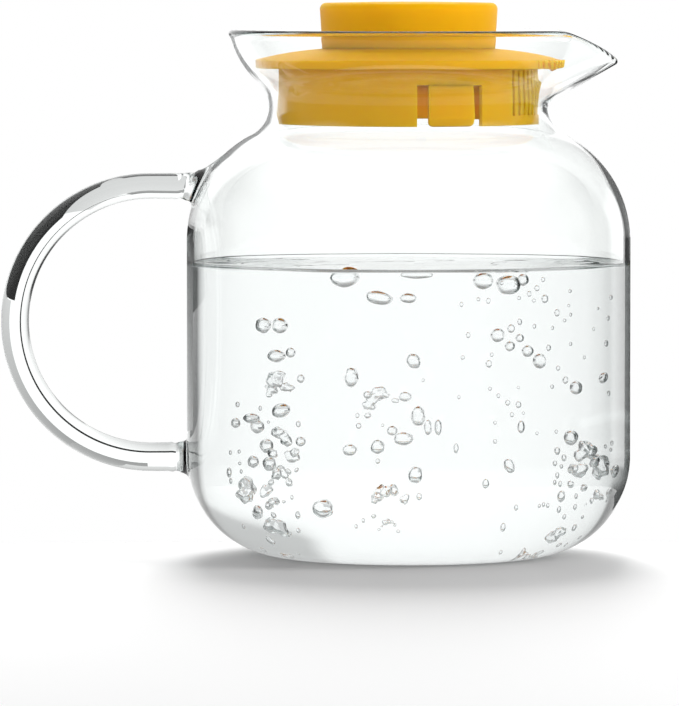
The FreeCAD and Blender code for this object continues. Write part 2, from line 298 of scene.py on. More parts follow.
def buildGlass():
    body = outerBody()
    plain = np.concatenate([body[1:-1], mouthSection(flareOutline()), innerBody()[::-1][1:-1]])
    pulled = np.concatenate([body[1:-1], mouthSection(spoutOutline()), innerBody()[::-1][1:-1]])
    columns = columnAngles()
    count = len(columns)
    shares = [spoutShare(min(a, 360 - a)) for a in columns]
    mesh = bmesh.new()
    rings = []
    for a, b in zip(plain, pulled):
        ring = []
        for angle, share in zip(columns, shares):
            radius, height = a * (1 - share) + b * share
            turn = math.radians(angle)
            ring.append(mesh.verts.new((radius * math.cos(turn), radius * math.sin(turn), height)))
        rings.append(ring)
    under = mesh.verts.new((0, 0, body[0][1]))
    inside = mesh.verts.new((0, 0, jug["floorWall"]))

    # openings in the wall for the two feet
    heights = [p[1] for p in body[1:-1]]
    holes = []
    for foot, axisHeight, radius, rising in (
        (rod["upperFoot"], rod["topHeight"], rod["topRadius"], True),
        (rod["lowerFoot"], rod["bottomHeight"], rod["bottomRadius"], False),
    ):
        first = min(range(len(heights)), key=lambda k: abs(heights[k] - foot["low"]))
        holes.append((foot, axisHeight, radius, *holeLoop(columns, first, rising)))

    def isOpen(ring, column):
        return any(b <= ring < t and low <= column < high for *_, (b, t, low, high) in holes)

    for r in range(len(rings) - 1):
        for c in range(count):
            if not isOpen(r, c):
                n = (c + 1) % count
                mesh.faces.new((rings[r][c], rings[r][n], rings[r + 1][n], rings[r + 1][c]))
    for c in range(count):
        n = (c + 1) % count
        mesh.faces.new((under, rings[0][n], rings[0][c]))
        mesh.faces.new((inside, rings[-1][c], rings[-1][n]))

    def bridge(a, b):
        for k in range(len(a)):
            n = (k + 1) % len(a)
            mesh.faces.new((a[k], a[n], b[n], b[k]))

    ends = []
    for (foot, axisHeight, radius, loop, _), sign in zip(holes, (1, -1)):
        edge = [rings[r][c] for r, c in loop]
        turns = [math.atan2(v.co.z - axisHeight, v.co.y) for v in edge]
        curves = [footCurve(foot, axisHeight, radius, t, rod["footRings"]) for t in turns]
        last = edge
        for k in range(1, rod["skinRings"]):
            share = k / rod["skinRings"]
            ring = []
            for v, curve in zip(edge, curves):
                spot = v.co.lerp(curve[-1], share)
                ring.append(mesh.verts.new(wallPoint(spot.y, spot.z)))
            bridge(last, ring)
            last = ring
        for k in range(rod["footRings"] - 1, -1, -1):
            ring = [mesh.verts.new(curve[k]) for curve in curves]
            bridge(last, ring)
            last = ring
        ends.append((last, np.unwrap([sign * t for t in turns])))

    # the rod itself, carried round the loop from one foot to the other
    (startRing, startTurns), (endRing, endTurns) = ends
    middle = (rod["topHeight"] + rod["bottomHeight"]) / 2
    loopRadius = (rod["topHeight"] - rod["bottomHeight"]) / 2
    shift = round((endTurns[0] - startTurns[0]) / (2 * math.pi)) * 2 * math.pi
    last = startRing
    for k in range(rod["loopRings"] + 1):
        swing = 180 * k / rod["loopRings"]
        turn = math.radians(swing)
        away = Vector((-math.sin(turn), 0, math.cos(turn)))
        centre = Vector((rod["loopX"], 0, middle)) + away * loopRadius
        radius = rodRadius(swing)
        ring = []
        for a, b in zip(startTurns, endTurns):
            t = a + (b - shift - a) * k / rod["loopRings"]
            across = Vector((0, math.cos(t), 0)) * radius
            ring.append(mesh.verts.new(centre + across + away * math.sin(t) * radius))
        bridge(last, ring)
        last = ring
    bridge(last, endRing)

    bmesh.ops.recalc_face_normals(mesh, faces=mesh.faces)
    return meshObject(mesh, "jugGlass")


def meshObject(mesh, name):
    bmesh.ops.scale(mesh, vec=(mm, mm, mm), verts=mesh.verts)
    for face in mesh.faces:
        face.smooth = True
    data = bpy.data.meshes.new(name)
    mesh.to_mesh(data)
    mesh.free()
    piece = bpy.data.objects.new(name, data)
    scene.collection.objects.link(piece)
    return piece


# the drink: water with the air that pouring has drawn into it

water = {
    "top": 91.7, "overlap": 0.15, "meniscus": 1.5, "meniscusReach": 1.7, "rimGap": 0.4,
    "ripple": 0.35, "rippleScale": (0.05, 0.09), "rippleShift": 3.7, "calmReach": 4.0,
    "columns": 180, "edgeStep": 0.35, "stepGrowth": 1.25, "surfaceStep": 1.6, "index": 1.333,
}


def waterRipple(x, y):
    wide, deep = water["rippleScale"]
    return water["ripple"] * noise.noise(Vector((x * wide, y * deep, water["rippleShift"])))


def buildWater():
    rimHeight = water["top"] + water["meniscus"]
    wall = [p for p in innerBody(water["overlap"]) if p[1] < rimHeight - water["rimGap"]]
    rim = (wall[-1][0], rimHeight)
    mesh = bmesh.new()
    turns = [2 * math.pi * k / water["columns"] for k in range(water["columns"])]
    rings = []
    for radius, height in wall[1:] + [rim]:
        rings.append([mesh.verts.new((radius * math.cos(t), radius * math.sin(t), height)) for t in turns])
    reach = water["edgeStep"]
    radius = rim[0] - reach
    while radius > 1:
        ring = []
        climb = water["meniscus"] * math.exp(-(rim[0] - radius) / water["meniscusReach"])
        calm = 1 - math.exp(-(rim[0] - radius) / water["calmReach"])
        for t in turns:
            x, y = radius * math.cos(t), radius * math.sin(t)
            ring.append(mesh.verts.new((x, y, water["top"] + climb + waterRipple(x, y) * calm)))
        rings.append(ring)
        reach = min(water["surfaceStep"], reach * water["stepGrowth"])
        radius -= reach
    bottom = mesh.verts.new((0, 0, wall[0][1]))
    top = mesh.verts.new((0, 0, water["top"] + waterRipple(0, 0)))
    for r in range(len(rings) - 1):
        for c in range(len(turns)):
            n = (c + 1) % len(turns)
            mesh.faces.new((rings[r][c], rings[r][n], rings[r + 1][n], rings[r + 1][c]))
    for c in range(len(turns)):
        n = (c + 1) % len(turns)
        mesh.faces.new((bottom, rings[0][n], rings[0][c]))
        mesh.faces.new((top, rings[-1][c], rings[-1][n]))
    bmesh.ops.recalc_face_normals(mesh, faces=mesh.faces)
    fillWithAir(mesh)
    return meshObject(mesh, "waterFill")


air = {
    "seed": 11, "depth": (10.0, 24.0), "sightSlope": 0.05, "wobble": 0.09, "waves": 1.6,
    # torn air as a bent string: lumps, their size, taper, bend, scatter and tilt
    "string": {
        "lumps": 2.2, "size": (0.35, 0.75), "taper": 0.45, "bend": 0.3, "reach": 0.4,
        "aside": 0.2, "rise": 0.18, "stretch": 1.3, "tilt": 40, "wobble": 0.5, "voxel": 0.36, "smoothing": 3,
    },
    # whole bubbles as they are seen from the front: across, height, width, tall, lean
    "whole": (
        (-45, 73, 5, 5, 0), (-40, 73, 5, 5, 0), (-41, 63.5, 5.7, 4.1, 0), (-36.5, 64.5, 3.2, 3.2, 0),
        (-33.5, 56.5, 2.5, 2.8, 0), (-39.5, 46.5, 6.3, 4.4, 15), (-48.5, 44, 5.7, 3.2, 0),
        (-53.5, 42.5, 3.2, 3.2, 0), (-47, 41.5, 4.4, 4.4, 0), (-44, 35.5, 4.4, 4.4, 0),
        (-33.5, 37, 3.2, 3.2, 0), (-48, 30.5, 3.8, 3.8, 0), (-43, 30, 4.4, 4.4, 0),
        (-46, 17.5, 3.2, 3.2, 0), (-26.5, 18.5, 6.3, 5, 0), (-20, 87.8, 8.8, 6.2, 0),
        (2, 88.6, 9.5, 2.8, 0), (-9.5, 81.5, 8.2, 4.4, -10), (-0.5, 81.5, 5, 3.2, 0),
        (-18, 57, 4.4, 6.3, 0), (1, 62, 4.4, 5, 30), (-13, 51.5, 2.8, 2.5, 0), (-1.5, 51, 3.8, 3.2, 0),
        (2.5, 45, 4.4, 6.3, 0), (5.5, 41.5, 2.5, 5, 0), (8.5, 41.5, 2.5, 5, 0),
        (-5.5, 40.5, 3.2, 3.2, 0), (-2, 38, 5.7, 4.4, 0), (-10, 35.5, 4.4, 4.4, 0),
        (-18.5, 34.5, 4.4, 3.8, 0), (1.5, 27, 4.4, 5, 0), (22.5, 87, 6.3, 5.7, 0),
        (30, 85.5, 7.6, 6.3, 0), (34.5, 87, 3.8, 3.8, 0), (27, 70, 4.4, 4.4, 0), (31, 72, 2.5, 2.8, 0),
        (33.5, 74, 1.6, 2.2, 0), (30.5, 66.5, 3.2, 3.2, 0), (33.5, 69, 2.8, 2.8, 0),
        (36, 65, 3.8, 3.8, 0), (40, 62, 4.4, 4.7, 0), (42.5, 66, 1.6, 2.2, 0), (51, 53.5, 4.4, 4.4, 0),
        (48, 56, 1.9, 2.5, 0), (59.5, 56.5, 4.1, 3.2, 35), (34, 41.5, 2.5, 4.1, 0),
        (30.5, 29.5, 3.2, 4.7, 25), (49.5, 38, 5, 5, 0), (23, 24.5, 2.2, 2.8, 0),
        (14, 35, 1.6, 3.2, 0), (49.5, 9, 5, 5, 0),
    ),
    # air torn into crumpled shapes
    "torn": (
        (-40.5, 53.5, 8.5, 6.3, 20), (-39, 36.5, 8.8, 8.2, 0), (-36, 30, 3.2, 5, 0),
        (-39.5, 26, 6.9, 5, 0), (-48.5, 22.5, 7.6, 8.8, 60), (-41, 19.5, 6.3, 4.4, 50),
        (-40.5, 14, 8.2, 6.3, 20), (-39.5, 9, 3.2, 4.4, 80), (-9.5, 49, 11.4, 6.3, 25),
        (-7.5, 21.5, 12, 6.3, 25), (-6.5, 14.5, 6.9, 3.2, 0), (54, 32, 9.5, 8.2, 0),
        (60, 27, 7.6, 9.5, 60), (57.5, 22.5, 9.5, 2.8, 0), (51.5, 26, 6.3, 6.3, 0),
        (36.5, 11, 13.9, 5, -25), (44.5, 12, 7.6, 6.9, 0),
    ),
    # clouds of small bubbles: low corner, high corner, count, least and greatest width
    "clouds": (
        ((12, 36), (62, 84), 34, 1.0, 2.3), ((20, 80), (42, 89), 8, 1.2, 2.6),
        ((-56, 8), (-34, 50), 16, 1.0, 2.6), ((28, 6), (58, 20), 14, 1.0, 3.0),
        ((44, 20), (63, 36), 12, 1.2, 2.8), ((-20, 10), (10, 60), 8, 1.0, 2.0),
    ),
}


def waterRadius(height):
    outline = np.array([p for p in innerBody() if p[1] < water["top"]])
    return float(np.interp(height, outline[:, 1], outline[:, 0]))


def seenPlace(across, height, depth, size):
    # where air has to be so that the round front of the water shows it there
    radius = waterRadius(height - size)
    arrive = math.asin(across / radius)
    onward = math.asin(across / radius / water["index"])
    x = across - depth * math.sin(arrive - onward)
    y = depth * math.cos(arrive - onward) - math.sqrt(radius ** 2 - across ** 2)
    return Vector((x, y, height - y * air["sightSlope"]))


def addBlob(mesh, place, width, tall, lean, wobble, shift):
    fine = 3 if max(width, tall) > 3 else 2
    turn = Matrix.Rotation(math.radians(-lean), 3, "Y")
    half = Vector((width, math.sqrt(width * tall), tall)) / 2
    verts = bmesh.ops.create_icosphere(mesh, subdivisions=fine, radius=1)["verts"]
    for v in verts:
        swell = 1 + wobble * noise.noise(v.co * air["waves"] + Vector((shift, 0, -shift)))
        v.co = place + turn @ Vector([a * b for a, b in zip(v.co, half)]) * swell


def tornBlob(place, width, tall, lean, chance):
    # a bent string of joined blobs, skinned as one surface
    string = air["string"]
    mesh = bmesh.new()
    turn = Matrix.Rotation(math.radians(-lean), 3, "Y")
    count = max(3, round(string["lumps"] * width / tall) + 2)
    for k in range(count):
        along = 2 * k / (count - 1) - 1
        bend = tall * string["bend"] * (1 - 2 * along ** 2)
        size = tall * chance.uniform(*string["size"]) * (1 - string["taper"] * abs(along))
        aside = chance.uniform(-string["aside"], string["aside"]) * width
        rise = bend + chance.uniform(-string["rise"], string["rise"]) * tall
        spot = place + turn @ Vector((along * width * string["reach"], aside, rise))
        tilt = chance.uniform(-string["tilt"], string["tilt"])
        addBlob(mesh, spot, size * string["stretch"], size, tilt, string["wobble"], chance.uniform(0, 50))
    data = bpy.data.meshes.new("torn")
    mesh.to_mesh(data)
    mesh.free()
    piece = bpy.data.objects.new("torn", data)
    scene.collection.objects.link(piece)
    skin = piece.modifiers.new("skin", "REMESH")
    skin.mode = "VOXEL"
    skin.voxel_size = string["voxel"]
    smooth = piece.modifiers.new("smooth", "SMOOTH")
    smooth.iterations = string["smoothing"]
    skinned = bpy.data.meshes.new_from_object(piece.evaluated_get(bpy.context.evaluated_depsgraph_get()))
    bpy.data.objects.remove(piece)
    return skinned


def fillWithAir(mesh):
    # each bubble is a hollow in the water, so its faces look inward
    chance = random.Random(air["seed"])
    skin = len(mesh.faces)
    placed = []
    for across, height, width, tall, lean in air["whole"]:
        place = seenPlace(across, height, chance.uniform(*air["depth"]), tall / 2)
        addBlob(mesh, place, width, tall, lean, air["wobble"], chance.uniform(0, 50))
        placed.append((across, height, max(width, tall) / 2))
    for across, height, width, tall, lean in air["torn"]:
        place = seenPlace(across, height, chance.uniform(*air["depth"]), width / 2)
        skinned = tornBlob(place, width, tall, lean, chance)
        mesh.from_mesh(skinned)
        bpy.data.meshes.remove(skinned)
        placed.append((across, height, max(width, tall) / 2))
    for low, high, count, least, greatest in air["clouds"]:
        while count:
            across, height = chance.uniform(low[0], high[0]), chance.uniform(low[1], high[1])
            size = least + (greatest - least) * chance.random() ** 2
            inside = abs(across) < waterRadius(height - size) - 2 * size
            if inside and all(math.dist((across, height), spot[:2]) > spot[2] + size for spot in placed):
                place = seenPlace(across, height, chance.uniform(*air["depth"]), size / 2)
                addBlob(mesh, place, size, size * chance.uniform(1.0, 1.4), 0, air["wobble"], across)
                placed.append((across, height, size / 2))
                count -= 1
    mesh.faces.ensure_lookup_table()
    bmesh.ops.reverse_faces(mesh, faces=mesh.faces[skin:])


# the lid's sprung tongues, each grown into the skirt above it

tongue = {
    "halfAngle": 10.2, "wall": 1.8, "rootGap": 0.15,
    "noseRise": 2.9, "noseBulge": 0.95, "cornerRound": 1.5, "edgeRound": 0.2, "bend": 1.5,
    "columns": 24, "cornerRows": 7, "noseRows": 4, "shankRows": 16,
}


def tongueSection(bottom, top, skirtRadius):
    # rows from the free end up, as height, outer radius and how much narrower the corner makes them
    corner, nose = tongue["cornerRound"], bottom + tongue["noseRise"]
    turns = np.radians(np.linspace(0, 90, tongue["cornerRows"]))
    heights = [bottom + corner * (1 - math.cos(t)) for t in turns]
    heights += list(np.linspace(heights[-1], nose, tongue["noseRows"])[1:])
    heights += list(np.linspace(nose, top, tongue["shankRows"])[1:])
    rows = []
    for height in heights:
        away = (height - nose) / (top - nose) if height > nose else (nose - height) / (nose - bottom)
        left = max(0.0, bottom + corner - height)
        narrow = corner - math.sqrt(corner ** 2 - left ** 2)
        rows.append((height, skirtRadius + tongue["noseBulge"] * (1 - away), narrow))
    return rows


def buildTongue(side):
    solid = np.array([v.co for v in nodes[f"snap_tongue_{side}"].data.vertices]) / mm
    skirtRadius = np.hypot(solid[:, 0], solid[:, 1]).max() - tongue["noseBulge"]
    bottom, top = solid[:, 2].min(), solid[:, 2].max() + tongue["rootGap"]
    middle = math.atan2(*(solid[:, k].min() + solid[:, k].max() for k in (1, 0)))
    mesh = bmesh.new()
    outside, inside = [], []
    for height, outerSide, narrow in tongueSection(bottom, top, skirtRadius):
        half = math.radians(tongue["halfAngle"]) - narrow / skirtRadius
        turns = middle + np.linspace(-half, half, tongue["columns"])
        for grid, radius in ((outside, outerSide), (inside, skirtRadius - tongue["wall"])):
            row = [(radius * math.cos(t), radius * math.sin(t), height) for t in turns]
            grid.append([mesh.verts.new(spot) for spot in row])
    for grid in (outside, inside):
        for lower, upper in zip(grid, grid[1:]):
            for c in range(tongue["columns"] - 1):
                mesh.faces.new((lower[c], lower[c + 1], upper[c + 1], upper[c]))
    edges = []
    for grid in (outside, inside):
        right = [row[-1] for row in grid[1:]]
        left = [row[0] for row in grid[-2:0:-1]]
        edges.append(grid[0] + right + grid[-1][-2::-1] + left)
    for k in range(len(edges[0])):
        n = (k + 1) % len(edges[0])
        mesh.faces.new((edges[0][k], edges[0][n], edges[1][n], edges[1][k]))
    bmesh.ops.recalc_face_normals(mesh, faces=mesh.faces)
    sharp = [e for e in mesh.edges if e.calc_face_angle() > 1 and min(v.co.z for v in e.verts) < top - 0.01]
    bmesh.ops.bevel(mesh, geom=sharp, offset=tongue["edgeRound"], segments=2, profile=0.5, affect="EDGES")
    piece = meshObject(mesh, f"tongue.{side}")
    piece.data.set_sharp_from_angle(angle=math.radians(40))
    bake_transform(piece)
    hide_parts(f"snap_tongue_{side}")
    return piece


# materials

def newMaterial(name):
    material = bpy.data.materials.new(name)
    material.use_nodes = True
    tree = material.node_tree
    tree.nodes.clear()
    return material, tree


clearGlass = {
    "index": 1.47, "tint": (0.985, 0.995, 0.99, 1), "absorb": (0.72, 0.78, 0.77, 1), "density": 25.0,
    "waves": {"scale": 28.0, "detail": 1.0, "strength": 0.04, "depth": 0.002},
    "shadow": {"faceOn": 0.97, "edgeOn": 0.7},
}
clearWater = {
    "index": water["index"], "tint": (0.99, 0.995, 1.0, 1), "shadow": {"faceOn": 0.42, "edgeOn": 0.8},
}
shadowRamp = {"blend": 0.35, "faceOn": 0.25, "edgeOn": 0.95}


def combine(tree, kind, *values):
    # a Math node on numbers and sockets
    node = tree.nodes.new("ShaderNodeMath")
    node.operation = kind
    for socket, value in zip(node.inputs, values):
        if isinstance(value, (int, float)):
            socket.default_value = value
        else:
            tree.links.new(value, socket)
    return node.outputs["Value"]


def clearMaterial(name, look):
    # lamps pass through by a see-through stand-in whose shade changes towards the outline
    material, tree = newMaterial(name)
    link = tree.links.new
    shader = tree.nodes.new("ShaderNodeBsdfPrincipled")
    shader.inputs["Base Color"].default_value = look["tint"]
    shader.inputs["Roughness"].default_value = 0.0
    shader.inputs["Transmission Weight"].default_value = 1.0
    shader.inputs["IOR"].default_value = look["index"]
    facing = tree.nodes.new("ShaderNodeLayerWeight")
    facing.inputs["Blend"].default_value = shadowRamp["blend"]
    ramp = tree.nodes.new("ShaderNodeValToRGB")
    for stop, side in zip(ramp.color_ramp.elements, ("faceOn", "edgeOn")):
        stop.position = shadowRamp[side]
        stop.color = (*[look["shadow"][side]] * 3, 1)
    link(facing.outputs["Facing"], ramp.inputs["Fac"])
    seeThrough = tree.nodes.new("ShaderNodeBsdfTransparent")
    link(ramp.outputs["Color"], seeThrough.inputs["Color"])
    path = tree.nodes.new("ShaderNodeLightPath")
    unbent = combine(tree, "MAXIMUM", path.outputs["Is Shadow Ray"], path.outputs["Is Diffuse Ray"])
    mix = tree.nodes.new("ShaderNodeMixShader")
    link(unbent, mix.inputs["Fac"])
    link(shader.outputs["BSDF"], mix.inputs[1])
    link(seeThrough.outputs["BSDF"], mix.inputs[2])
    out = tree.nodes.new("ShaderNodeOutputMaterial")
    link(mix.outputs["Shader"], out.inputs["Surface"])
    return material, tree, shader, out


def buildGrain():
    # noise over a surface: the glass's waves, the plastic's clouds and sparks
    group = bpy.data.node_groups.new("surfaceGrain", "ShaderNodeTree")
    group.interface.new_socket("Scale", in_out="INPUT", socket_type="NodeSocketFloat")
    group.interface.new_socket("Detail", in_out="INPUT", socket_type="NodeSocketFloat")
    group.interface.new_socket("Amount", in_out="OUTPUT", socket_type="NodeSocketFloat")
    given = group.nodes.new("NodeGroupInput")
    place = group.nodes.new("ShaderNodeTexCoord")
    cloud = group.nodes.new("ShaderNodeTexNoise")
    result = group.nodes.new("NodeGroupOutput")
    group.links.new(place.outputs["Object"], cloud.inputs["Vector"])
    group.links.new(given.outputs["Scale"], cloud.inputs["Scale"])
    group.links.new(given.outputs["Detail"], cloud.inputs["Detail"])
    group.links.new(cloud.outputs["Fac"], result.inputs["Amount"])
    return group


surfaceGrain = buildGrain()


def addGrain(tree, sizes):
    node = tree.nodes.new("ShaderNodeGroup")
    node.node_tree = surfaceGrain
    node.inputs["Scale"].default_value = sizes["scale"]
    node.inputs["Detail"].default_value = sizes["detail"]
    return node.outputs["Amount"]


def addBump(tree, shader, sizes):
    bump = tree.nodes.new("ShaderNodeBump")
    bump.inputs["Strength"].default_value = sizes["strength"]
    bump.inputs["Distance"].default_value = sizes["depth"]
    tree.links.new(addGrain(tree, sizes), bump.inputs["Height"])
    tree.links.new(bump.outputs["Normal"], shader.inputs["Normal"])


def glassMaterial():
    # blown glass is faintly wavy, and greenish where it is thick
    material, tree, shader, out = clearMaterial("clearGlass", clearGlass)
    addBump(tree, shader, clearGlass["waves"])
    inside = tree.nodes.new("ShaderNodeVolumeAbsorption")
    inside.inputs["Color"].default_value = clearGlass["absorb"]
    inside.inputs["Density"].default_value = clearGlass["density"]
    tree.links.new(inside.outputs["Volume"], out.inputs["Volume"])
    return material


def waterMaterial():
    return clearMaterial("clearWater", clearWater)[0]


lidPlastic = {
    "colour": (0.78, 0.4, 0.001, 1), "shade": (0.72, 0.36, 0.0008, 1), "roughness": (0.44, 0.56),
    "sheen": 0.15, "glow": 0.8, "glowRadius": (0.008, 0.006, 0.0006),
    "clouds": {"scale": 60.0, "detail": 3.0},
    "sparks": {"scale": 2200.0, "detail": 2.0, "strength": 0.06, "depth": 0.0002},
}


def lidMaterial():
    material, tree = newMaterial("lidPlastic")
    link = tree.links.new
    shader = tree.nodes.new("ShaderNodeBsdfPrincipled")
    shader.inputs["Specular IOR Level"].default_value = lidPlastic["sheen"]
    shader.inputs["Subsurface Weight"].default_value = lidPlastic["glow"]
    shader.inputs["Subsurface Radius"].default_value = lidPlastic["glowRadius"]
    shader.inputs["Subsurface Scale"].default_value = 1.0
    clouds = addGrain(tree, lidPlastic["clouds"])
    blend = tree.nodes.new("ShaderNodeMix")
    blend.data_type = "RGBA"
    blend.inputs["A"].default_value = lidPlastic["colour"]
    blend.inputs["B"].default_value = lidPlastic["shade"]
    link(clouds, blend.inputs["Factor"])
    link(blend.outputs["Result"], shader.inputs["Base Color"])
    spread = tree.nodes.new("ShaderNodeMapRange")
    spread.inputs["To Min"].default_value, spread.inputs["To Max"].default_value = lidPlastic["roughness"]
    link(clouds, spread.inputs["Value"])
    link(spread.outputs["Result"], shader.inputs["Roughness"])
    addBump(tree, shader, lidPlastic["sparks"])
    out = tree.nodes.new("ShaderNodeOutputMaterial")
    link(shader.outputs["BSDF"], out.inputs["Surface"])
    return material


# stage, light and camera

studio = {
    "floor": {"radius": 0.6, "centre": (0.0, -0.54, -0.0002), "colour": (0.92, 0.92, 0.92, 1)},
    # brightness of the studio wall by direction: degrees from straight behind the jug, + towards the spout
    "walls": (
        (-90, 0.2), (-70, 0.1), (-61, 0.2), (-56, 0.35), (-51, 0.58), (-45, 0.85), (-36, 1.08), (-24, 1.16),
        (-8, 1.2), (38, 1.2), (46, 1.1), (49, 0.75), (52, 0.06), (68, 0.06), (76, 0.6), (90, 0.8),
    ),
    # dark parts of the studio: azimuths, elevations, soft edge and what is left of the light
    "cards": (
        {"left": 28, "right": 80, "low": -34, "high": -6, "soft": 3, "level": 0.05},
        {"left": 14, "right": 60, "low": 12, "high": 45, "soft": 8, "level": 0.55},
        {"left": -80, "right": -44, "low": 6, "high": 60, "soft": 6, "level": 0.1},
    ),
    # the room in front: its light in mirrored and in see-through rays, and the edge as a share of Y
    "front": {"mirrored": 0.1, "through": 0.3, "edge": (0.1, 0.45)},
    # the plain pale room behind a jug that is looked down on: its light, and elevations of its edges
    "lowRoom": {"light": 1.0, "low": (-42, -34), "high": (-13, -6)},
    "ceiling": {"light": 0.95, "rise": (25, 45), "edge": (-0.5, -0.1)},
    "ambient": {"light": (0.8, 0.12), "rise": (15, 50)},
    # dim flags behind the jug: how far behind its axis, (x, z) corners in millimetres,
    # the light at their lowest and highest corners, and how many glass surfaces they are met past
    "flags": {
        "shoulderFlag": {
            "behind": 120, "nearest": 88, "depth": (0, 2), "light": (0.38, 0.38),
            "corners": (
                (-100, 118), (-80, 118), (-78, 130), (-64, 137),
                (-58, 138), (-58, 146), (-62, 166), (-100, 166),
            ),
        },
        "runLight": {
            "behind": 24, "depth": (0, 2), "light": (1.15, 1.15),
            "corners": ((-104, 123.8), (-71, 123.8), (-71, 150), (-104, 150)),
        },
        "wallFlag": {
            "behind": 20, "depth": (0, 2), "light": (0.8, 0.02),
            "corners": ((-88, 38), (-72, 38), (-72, 104), (-88, 104)),
        },
        "farWallFlag": {
            "behind": 20, "depth": (0, 2), "light": (0.05, 0.05),
            "corners": ((72, 8), (88, 8), (88, 100), (72, 100)),
        },
        "upperWallFlag": {
            "behind": 40, "depth": (0, 2), "light": (0.4, 0.4),
            "corners": ((-90, 92), (-72.5, 92), (-72.5, 106), (-71, 113), (-68, 120), (-90, 120)),
        },
        "spoutFlag": {
            "behind": 120, "nearest": 88, "depth": (0, 2), "light": (0.15, 0.15),
            "corners": ((94, 86), (140, 86), (140, 150), (70, 150), (80, 130)),
        },
        "runFlag": {
            "behind": 26, "depth": (0, 2), "light": (0.55, 0.85),
            "corners": ((-108, 84), (-72, 84), (-72, 121), (-108, 121)),
        },
        "loopFlag": {
            "behind": 25, "depth": (0, 2), "light": (0.02, 0.02),
            "corners": [
                *arcPoints((-81.45, 74), 42.2, 132, 173), *arcPoints((-81.45, 74), 8, 173, 112), (-94, 104),
            ],
        },
        "lowLoopFlag": {
            "behind": 25, "depth": (0, 2), "light": (0.35, 0.75),
            "corners": arcPoints((-81.45, 74), 38.7, 173.5, 268) + arcPoints((-81.45, 74), 10, 268, 173.5),
        },
        "lineFlag": {
            "behind": 25, "depth": (0, 2), "light": (0.02, 0.02),
            "corners": [
                (-73, 123.6), *arcPoints((-81.45, 74), 49.6, 90, 270), (-73, 24.4),
                (-73, 26.1), *arcPoints((-81.0, 74.7), 48.6, 270, 90), (-73, 123.3),
            ],
        },
    },
    # painted shadow: a dim disc just under the base, seen by the glass alone, standing in for the table's
    # shadow that the base looks down on
    "underShade": {"radius": 130, "core": 42, "drop": 0.1, "depth": (0, 40), "light": (0.35, 1.1)},
    "lamps": {
        "stripLamp": {"place": (0.0, 1.0, 0.9), "size": (0.35, 1.5), "watts": 26.0, "aim": (0, 0, 0)},
        "keyLamp": {"place": (-0.5, -1.9, 0.55), "size": (0.8, 0.8), "watts": 10.5, "aim": (0, 0, 0.15)},
        "sideLamp": {"place": (1.2, -0.5, 0.5), "size": (0.5, 0.7), "watts": 10.0, "aim": (0, 0, 0.15)},
    },
    "camera": {"place": (-0.0218, -2.35, 0.190), "aim": (-0.0218, 0, 0.064), "lens": 380.0},
    "bounces": 40,
}


def buildFloor():
    sizes = studio["floor"]
    mesh = bmesh.new()
    bmesh.ops.create_circle(mesh, cap_ends=True, segments=128, radius=sizes["radius"])
    data = bpy.data.meshes.new("floor")
    mesh.to_mesh(data)
    mesh.free()
    floor = bpy.data.objects.new("floor", data)
    scene.collection.objects.link(floor)
    floor.location = sizes["centre"]
    floor.visible_transmission = False
    floor.visible_glossy = False
    material, tree = newMaterial("paleFloor")
    shader = tree.nodes.new("ShaderNodeBsdfDiffuse")
    shader.inputs["Color"].default_value = sizes["colour"]
    out = tree.nodes.new("ShaderNodeOutputMaterial")
    tree.links.new(shader.outputs["BSDF"], out.inputs["Surface"])
    data.materials.append(material)


def glassOnly(mesh, name, reach, light, depth, nearest=0.0, outward=False):
    # a dim sheet for the glass alone, fading upward or outward over its reach,
    # met from its front, past that many glass surfaces and no nearer than that
    sheet = meshObject(mesh, name)
    for kind in ("camera", "diffuse", "shadow"):
        setattr(sheet, f"visible_{kind}", False)
    material, tree = newMaterial(name)
    place = tree.nodes.new("ShaderNodeTexCoord")
    fade = tree.nodes.new("ShaderNodeMapRange")
    fade.inputs["From Min"].default_value, fade.inputs["From Max"].default_value = (r * mm for r in reach)
    fade.inputs["To Min"].default_value, fade.inputs["To Max"].default_value = light
    if outward:
        length = tree.nodes.new("ShaderNodeVectorMath")
        length.operation = "LENGTH"
        tree.links.new(place.outputs["Object"], length.inputs[0])
        tree.links.new(length.outputs["Value"], fade.inputs["Value"])
    else:
        split = tree.nodes.new("ShaderNodeSeparateXYZ")
        tree.links.new(place.outputs["Object"], split.inputs["Vector"])
        tree.links.new(split.outputs["Z"], fade.inputs["Value"])
    shader = tree.nodes.new("ShaderNodeEmission")
    tree.links.new(fade.outputs["Result"], shader.inputs["Strength"])
    path = tree.nodes.new("ShaderNodeLightPath")
    middle, half = sum(depth) / 2, (depth[1] - depth[0] + 1) / 2
    past = combine(tree, "COMPARE", path.outputs["Transmission Depth"], middle, half)
    far = combine(tree, "GREATER_THAN", path.outputs["Ray Length"], nearest * mm)
    back = tree.nodes.new("ShaderNodeNewGeometry").outputs["Backfacing"]
    met = combine(tree, "GREATER_THAN", combine(tree, "MULTIPLY", past, far), back)
    clear = tree.nodes.new("ShaderNodeBsdfTransparent")
    mix = tree.nodes.new("ShaderNodeMixShader")
    tree.links.new(met, mix.inputs["Fac"])
    tree.links.new(clear.outputs["BSDF"], mix.inputs[1])
    tree.links.new(shader.outputs["Emission"], mix.inputs[2])
    out = tree.nodes.new("ShaderNodeOutputMaterial")
    tree.links.new(mix.outputs["Shader"], out.inputs["Surface"])
    sheet.data.materials.append(material)
    return sheet


